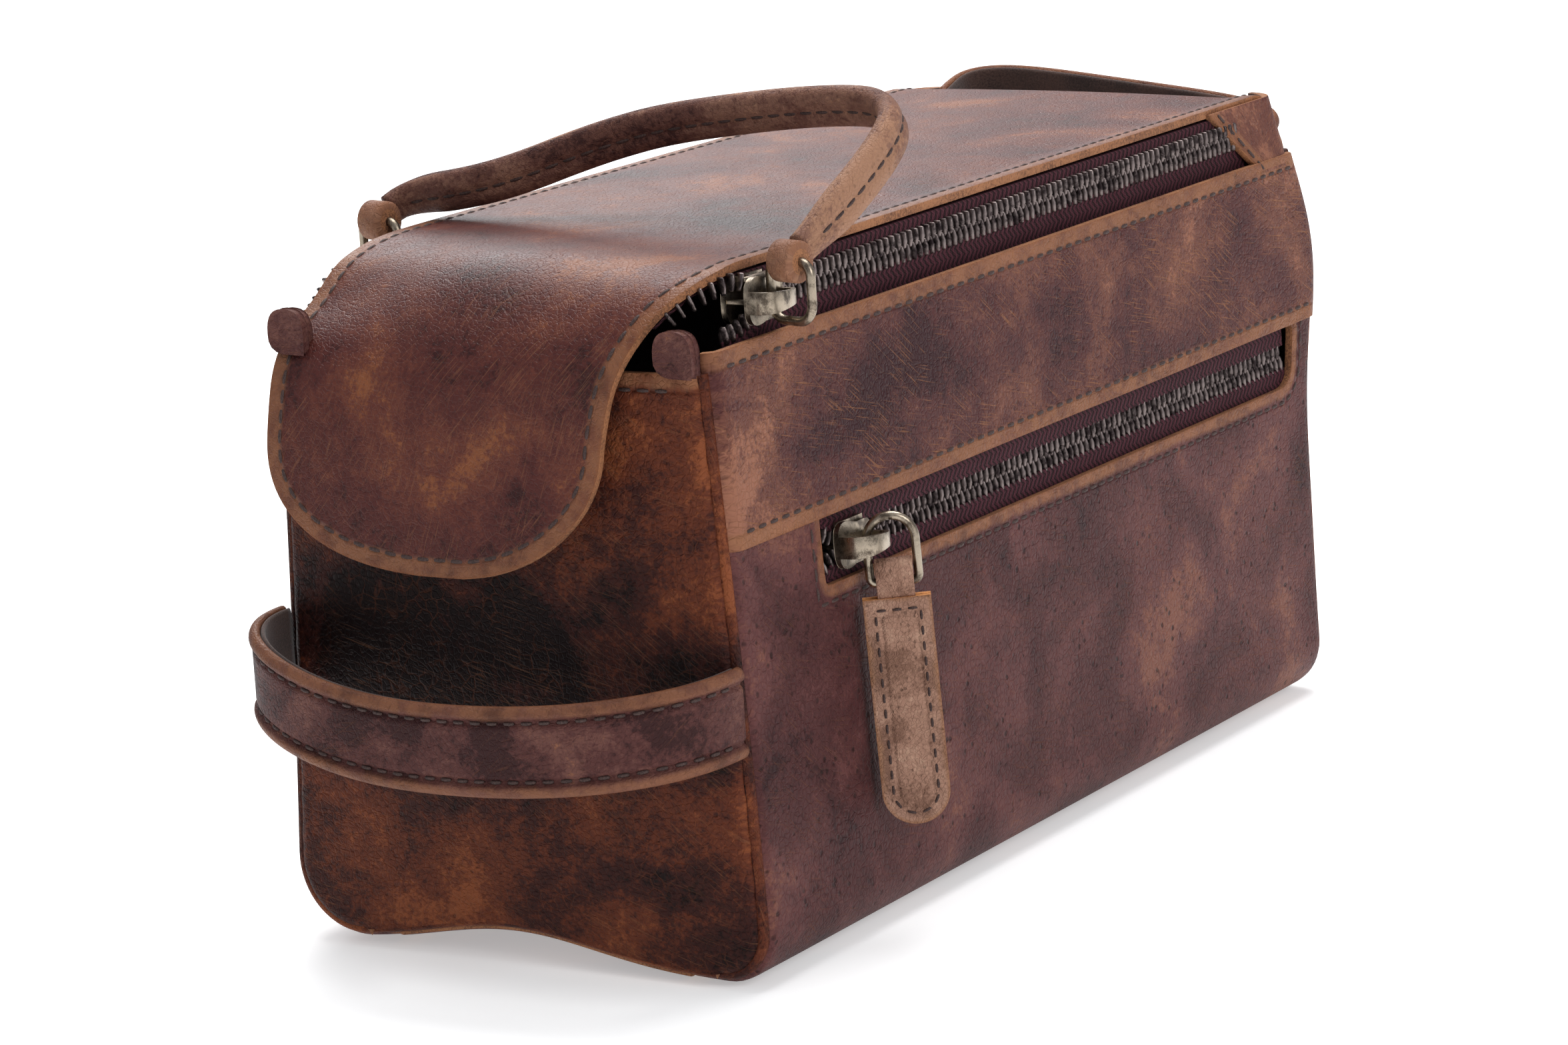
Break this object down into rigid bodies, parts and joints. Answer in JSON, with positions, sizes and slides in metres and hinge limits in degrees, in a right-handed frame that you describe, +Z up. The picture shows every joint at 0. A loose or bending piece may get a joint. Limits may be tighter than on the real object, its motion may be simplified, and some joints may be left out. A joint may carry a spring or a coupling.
{
  "type": "hanging toiletry bag",
  "caption": "Boxy leather toiletry bag with a zipped fold-over lid, a rolled handle joining both sliders, a side pocket, a carry strap and a hanging loop.",
  "frame": {"origin": "middle of the base, on the surface that the bag stands on", "axes": "+Z up, +X along the length to the far (lid hinge) end, -Y the pocket side"},
  "size_m": [0.303, 0.1328, 0.1714],
  "materials": {
    "leather_body": "distressed pull-up leather, pebbled grain, satin",
    "leather_band": "distressed pull-up leather, tan, fine scratches",
    "leather_lid": "distressed pull-up leather, smooth, waxy",
    "leather_strap": "distressed pull-up leather, cut edges",
    "leather_tab": "distressed leather, raw cut edges",
    "lining_cloth": "plain woven polyester",
    "board": "fibre stiffener",
    "zip_tape": "herringbone woven tape",
    "zip_teeth": "dark antique metal",
    "hardware": "antique brass, worn"
  },
  "bodies": {
    "bag": {"base_panel": "leather_body", "base_board": "board", "base_lining": "lining_cloth", "front_panel": "leather_body", "front_band": "leather_band", "back_panel": "leather_body", "back_band": "leather_band", "near_end_panel": "leather_body", "far_end_panel": "leather_body", "hinge_strip": "leather_band", "front_lining": "lining_cloth", "back_lining": "lining_cloth", "near_lining": "lining_cloth", "far_lining": "lining_cloth", "pocket_pouch": "lining_cloth", "front_tape_lower": "zip_tape", "back_tape_lower": "zip_tape", "front_teeth_lower": "zip_teeth", "back_teeth_lower": "zip_teeth", "front_facing": "leather_band", "back_facing": "leather_band", "front_stub": "leather_strap", "back_stub": "leather_strap", "pocket_tape_upper": "zip_tape", "pocket_tape_lower": "zip_tape", "pocket_teeth_upper": "zip_teeth", "pocket_teeth_lower": "zip_teeth", "pocket_stops": "zip_teeth", "carry_anchors": "leather_strap", "loop_anchors": "leather_strap"},
    "lid": {"lid_leather": "leather_lid", "lid_lining": "lining_cloth", "front_tape_upper": "zip_tape", "back_tape_upper": "zip_tape", "front_teeth_upper": "zip_teeth", "back_teeth_upper": "zip_teeth"},
    "tongue": {"tongue_leather": "leather_lid", "tongue_lining": "lining_cloth"},
    "front_slider": {"front_slider": "hardware", "front_ring": "hardware"},
    "back_slider": {"back_slider": "hardware", "back_ring": "hardware"},
    "handle": {"handle_strap": "leather_strap", "front_knob": "leather_strap", "back_knob": "leather_strap"},
    "pocket_slider": {"pocket_slider": "hardware"},
    "pocket_ring": {"pocket_ring": "hardware"},
    "pull_tab": {"tab_front": "leather_tab", "tab_back": "leather_tab", "tab_neck": "leather_tab"},
    "carry_strap": {"carry_strap": "leather_strap", "carry_lining": "leather_strap"},
    "hang_loop": {"hang_loop": "leather_strap", "loop_lining": "leather_strap"}
  },
  "joints": [
    {"name": "lid_hinge", "type": "hinge", "parent": "bag", "child": "lid", "pos_m": [0.112, 0, 0.14], "axis": [0, 1, 0], "range_deg": [0, 105]},
    {"name": "tongue_lift", "type": "hinge", "parent": "lid", "child": "tongue", "pos_m": [-0.104, 0, 0.14], "axis": [0, 1, 0], "range_deg": [0, 60]},
    {"name": "front_zip", "type": "slide", "parent": "lid", "child": "front_slider", "axis": [1, 0, 0], "range_m": [0, 0.176]},
    {"name": "back_zip", "type": "slide", "parent": "lid", "child": "back_slider", "axis": [1, 0, 0], "range_m": [0, 0.176]},
    {"name": "handle_swing", "type": "hinge", "parent": "front_slider", "child": "handle", "pos_m": [-0.091, 0, 0.1396], "axis": [-0.2374, -0.9714, 0], "range_deg": [-2.5, 116]},
    {"name": "pocket_zip", "type": "slide", "parent": "bag", "child": "pocket_slider", "axis": [1, 0, 0], "range_m": [0, 0.192]},
    {"name": "pocket_ring_swing", "type": "hinge", "parent": "pocket_slider", "child": "pocket_ring", "pos_m": [-0.0775, -0.06039, 0.07939], "axis": [-0.8572, -0.5143, 0.0267], "range_deg": [0, 100]},
    {"name": "pull_tab_swing", "type": "hinge", "parent": "pocket_ring", "child": "pull_tab", "pos_m": [-0.0775, -0.06083, 0.0709], "axis": [-0.515, 0.856, -0.0445], "range_deg": [0, 80]},
    {"name": "carry_strap_flex", "type": "hinge", "parent": "bag", "child": "carry_strap", "pos_m": [-0.127, 0, 0.055], "axis": [0, 1, 0], "range_deg": [-20, 20], "stiffness_Nm_per_rad": 0.08},
    {"name": "hang_loop_flex", "type": "hinge", "parent": "bag", "child": "hang_loop", "pos_m": [0.127, 0, 0.1305], "axis": [0, -1, 0], "range_deg": [-15, 15], "stiffness_Nm_per_rad": 0.08}
  ],
  "couplings": [
    {"joint": "back_zip", "follows": "front_zip", "ratio": 1}
  ]
}
